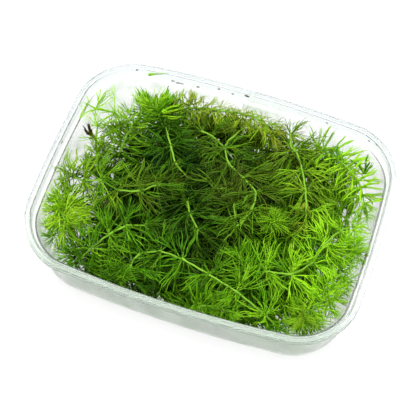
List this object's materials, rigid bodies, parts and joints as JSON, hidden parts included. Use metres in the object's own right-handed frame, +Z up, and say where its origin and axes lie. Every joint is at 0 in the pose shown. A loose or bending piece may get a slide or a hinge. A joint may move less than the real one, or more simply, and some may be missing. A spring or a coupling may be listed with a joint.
{
  "type": "hornwort in a clear tub",
  "caption": "Loose tangle of fresh hornwort stems with whorls of fine forked leaves, packed in an open clear plastic tub with rounded corners and a stepped rim.",
  "frame": {"origin": "on the table under the centre of the object's box", "axes": "+X along the tub's length, +Y to its back, +Z up"},
  "size_m": [0.1774, 0.1344, 0.043],
  "materials": {
    "clear_plastic": "thin translucent clear plastic, slightly frosted, glossy rim",
    "hornwort": "wet green water-plant leaves, satin"
  },
  "bodies": {
    "root": {"tub": "clear_plastic", "stem_front": "hornwort", "stem_right": "hornwort", "stem_left_front": "hornwort", "stem_left": "hornwort", "stem_left_corner": "hornwort", "stem_left_back": "hornwort", "stem_centre": "hornwort", "stem_arch": "hornwort", "stem_middle": "hornwort", "stem_right_back": "hornwort", "stem_rosette": "hornwort", "stem_sprig": "hornwort", "stem_brush": "hornwort", "stem_top": "hornwort", "stem_back": "hornwort", "stem_back_right": "hornwort", "stem_right_corner": "hornwort", "stem_middle_tip": "hornwort", "stem_lower_front": "hornwort", "stem_lower_front_mid": "hornwort", "stem_lower_mid": "hornwort", "stem_lower_back_mid": "hornwort", "stem_lower_back": "hornwort", "stem_front_edge_left": "hornwort", "stem_front_edge_right": "hornwort", "stem_right_edge": "hornwort"}
  },
  "joints": []
}
